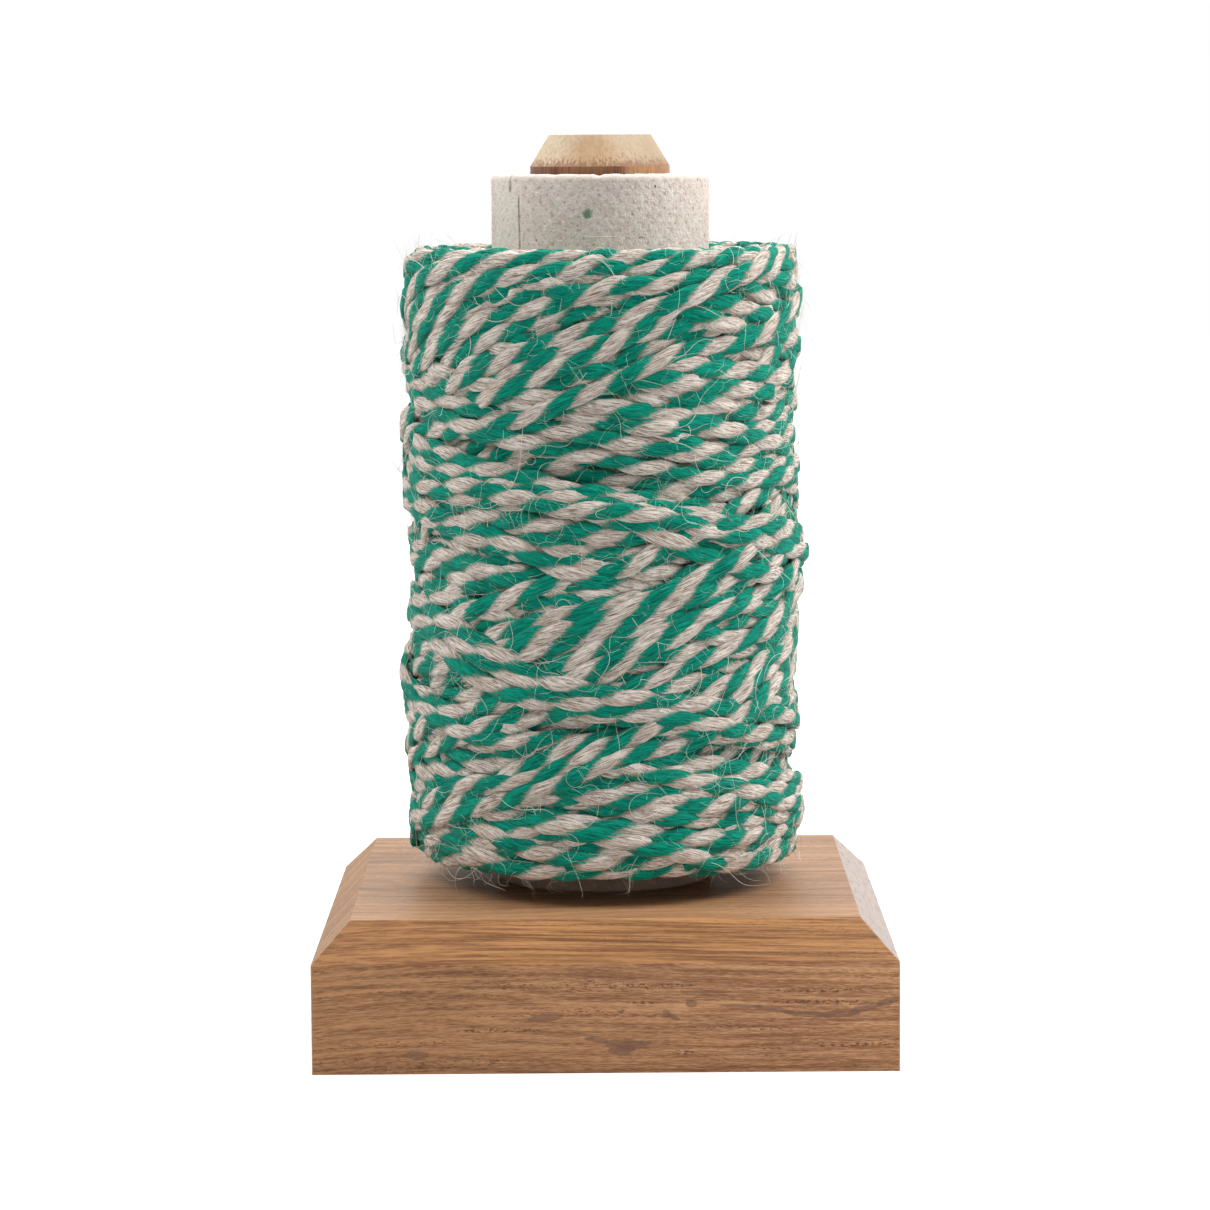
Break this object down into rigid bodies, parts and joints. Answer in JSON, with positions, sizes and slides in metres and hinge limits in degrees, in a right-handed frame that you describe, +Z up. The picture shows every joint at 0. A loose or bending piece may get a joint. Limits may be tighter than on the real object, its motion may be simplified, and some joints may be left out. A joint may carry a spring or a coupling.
{
  "type": "twine holder",
  "caption": "Upright spool holder: a bevelled square oak block carries an oak spindle, and a cross-wound spool of two-colour twine on a card tube turns on it.",
  "frame": {"origin": "centre of the block's underside", "axes": "+Z up along the spindle, +X to the right of the long-grain front face, +Y to the back"},
  "size_m": [0.11, 0.11, 0.1745],
  "materials": {
    "oak": "planed oak with a thin clear oil, long grain along X on the block and along Z on the spindle",
    "tube_card": "matt grey recycled board with a faint diamond embossing",
    "twine": "twisted hairy jute, green and undyed yarns laid together"
  },
  "bodies": {
    "stand": {"base_block": "oak", "spindle": "oak"},
    "spool": {"card_tube": "tube_card", "twine_roll": "twine"}
  },
  "joints": [
    {"name": "spool_turn", "type": "hinge", "parent": "stand", "child": "spool", "pos_m": [0, 0, 0.028], "axis": [0, 0, 1], "continuous": true}
  ]
}
